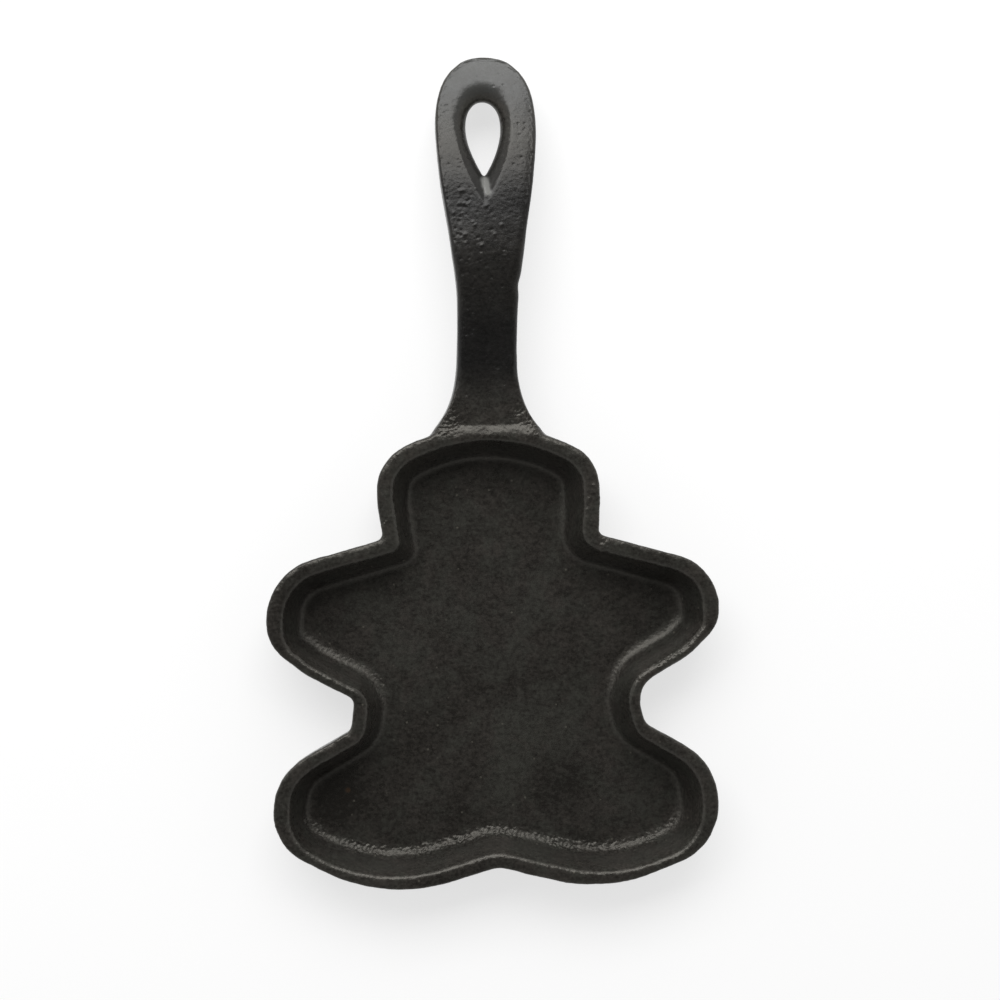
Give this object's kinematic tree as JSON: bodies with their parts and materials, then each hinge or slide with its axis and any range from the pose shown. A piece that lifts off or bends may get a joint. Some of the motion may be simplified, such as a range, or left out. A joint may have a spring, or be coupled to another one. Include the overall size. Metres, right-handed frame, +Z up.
{
  "type": "cast iron gingerbread man pan",
  "caption": "Shallow cast iron baking pan in the outline of a gingerbread man, with a flat lip, sloping walls and an arched handle that ends in a teardrop hanging hole.",
  "frame": {"origin": "on the base plane, under the middle of the figure's body at the waist", "axes": "+Z up out of the pan as it lies on its base, +Y from the legs towards the handle, +X towards the figure's arm on the right as seen from above"},
  "size_m": [0.132, 0.2433, 0.0199],
  "materials": {
    "cast_iron": "seasoned black sand casting, satin, fine grained, drier and greyer towards the end of the handle"
  },
  "bodies": {
    "root": {"pan_floor": "cast_iron", "head_wall": "cast_iron", "right_arm_wall": "cast_iron", "right_leg_wall": "cast_iron", "left_leg_wall": "cast_iron", "left_arm_wall": "cast_iron", "handle_root": "cast_iron", "handle_grip": "cast_iron", "hanging_eye": "cast_iron"}
  },
  "joints": []
}
